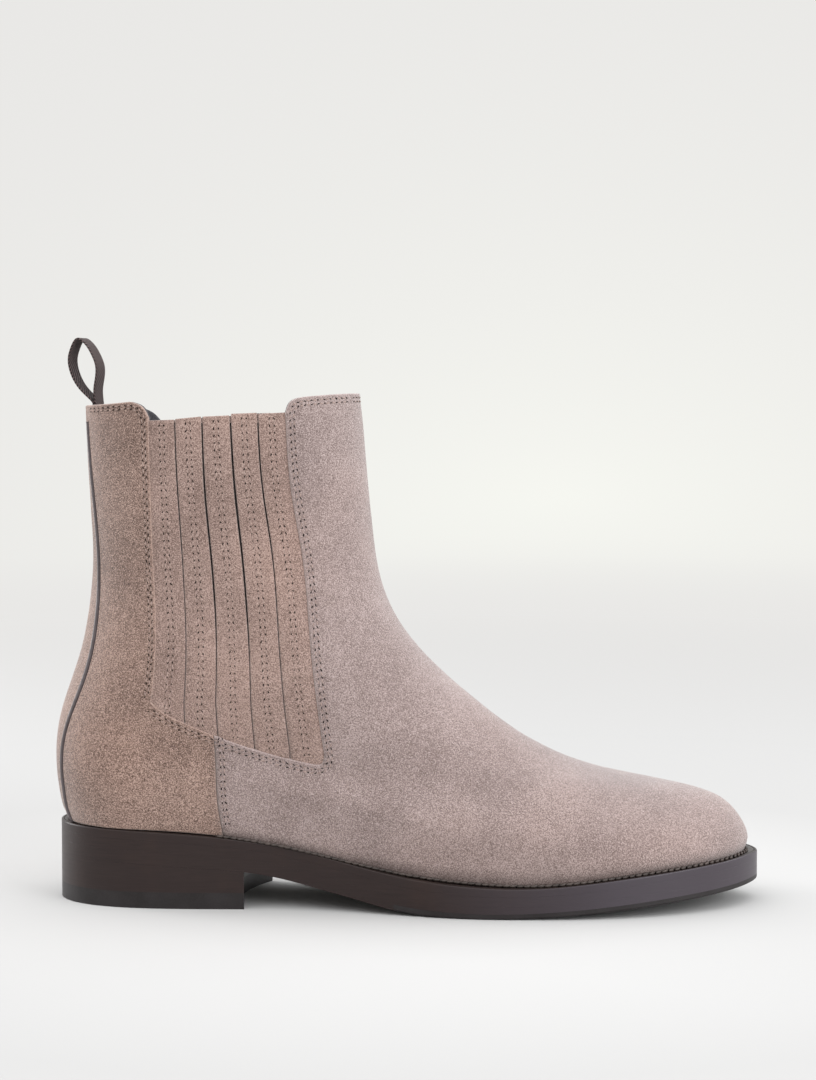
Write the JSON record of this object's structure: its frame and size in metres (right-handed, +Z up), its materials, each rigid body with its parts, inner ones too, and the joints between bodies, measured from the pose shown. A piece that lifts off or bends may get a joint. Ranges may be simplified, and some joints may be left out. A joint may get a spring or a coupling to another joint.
{
  "type": "chelsea boot",
  "caption": "Ankle boot for the right foot: suede upper with elastic side gussets, fabric pull loop at the back, welted leather sole and stacked heel.",
  "frame": {"origin": "on the floor, under the middle of the boot's bounding box", "axes": "+X towards the toe, +Y towards the inner side of the foot, +Z up"},
  "size_m": [0.3057, 0.1026, 0.2432],
  "materials": {
    "suede": "suede nap",
    "gusset_suede": "suede nap, needle holes",
    "dark_leather": "polished",
    "elastic": "matt weave",
    "lining": "smooth matt",
    "stiffener": "matt",
    "insole_leather": "matt",
    "cork": "granular",
    "shank_steel": "plain",
    "sole_leather": "dyed and waxed edge",
    "sole_rubber": "matt",
    "nail_brass": "plain",
    "webbing": "twill weave"
  },
  "bodies": {
    "boot": {"vamp": "suede", "quarter_lateral": "suede", "quarter_medial": "suede", "back_seam_piping": "dark_leather", "gusset_strip_lateral_1": "gusset_suede", "gusset_strip_lateral_2": "gusset_suede", "gusset_strip_lateral_3": "gusset_suede", "gusset_strip_lateral_4": "gusset_suede", "gusset_strip_lateral_5": "gusset_suede", "gusset_strip_medial_1": "gusset_suede", "gusset_strip_medial_2": "gusset_suede", "gusset_strip_medial_3": "gusset_suede", "gusset_strip_medial_4": "gusset_suede", "gusset_strip_medial_5": "gusset_suede", "elastic_gore_lateral": "elastic", "elastic_gore_medial": "elastic", "vamp_lining": "lining", "quarter_lining": "lining", "toe_puff": "stiffener", "heel_counter": "stiffener", "insole": "insole_leather", "sock_liner": "lining", "shank": "shank_steel", "cork_filler": "cork", "welt": "dark_leather", "heel_rand": "dark_leather", "midsole": "sole_leather", "outsole": "sole_leather", "half_sole": "sole_rubber", "heel_lift_1": "sole_leather", "heel_lift_2": "sole_leather", "heel_lift_3": "sole_leather", "heel_top_lift": "sole_rubber", "heel_nails": "nail_brass"},
    "pull_loop": {"pull_loop": "webbing"}
  },
  "joints": [
    {"name": "pull_loop_hinge", "type": "hinge", "parent": "boot", "child": "pull_loop", "pos_m": [-0.1338, 0, 0.2129], "axis": [0.2334, 0.9724, 0], "range_deg": [-8, 75], "stiffness_Nm_per_rad": 0.003}
  ]
}
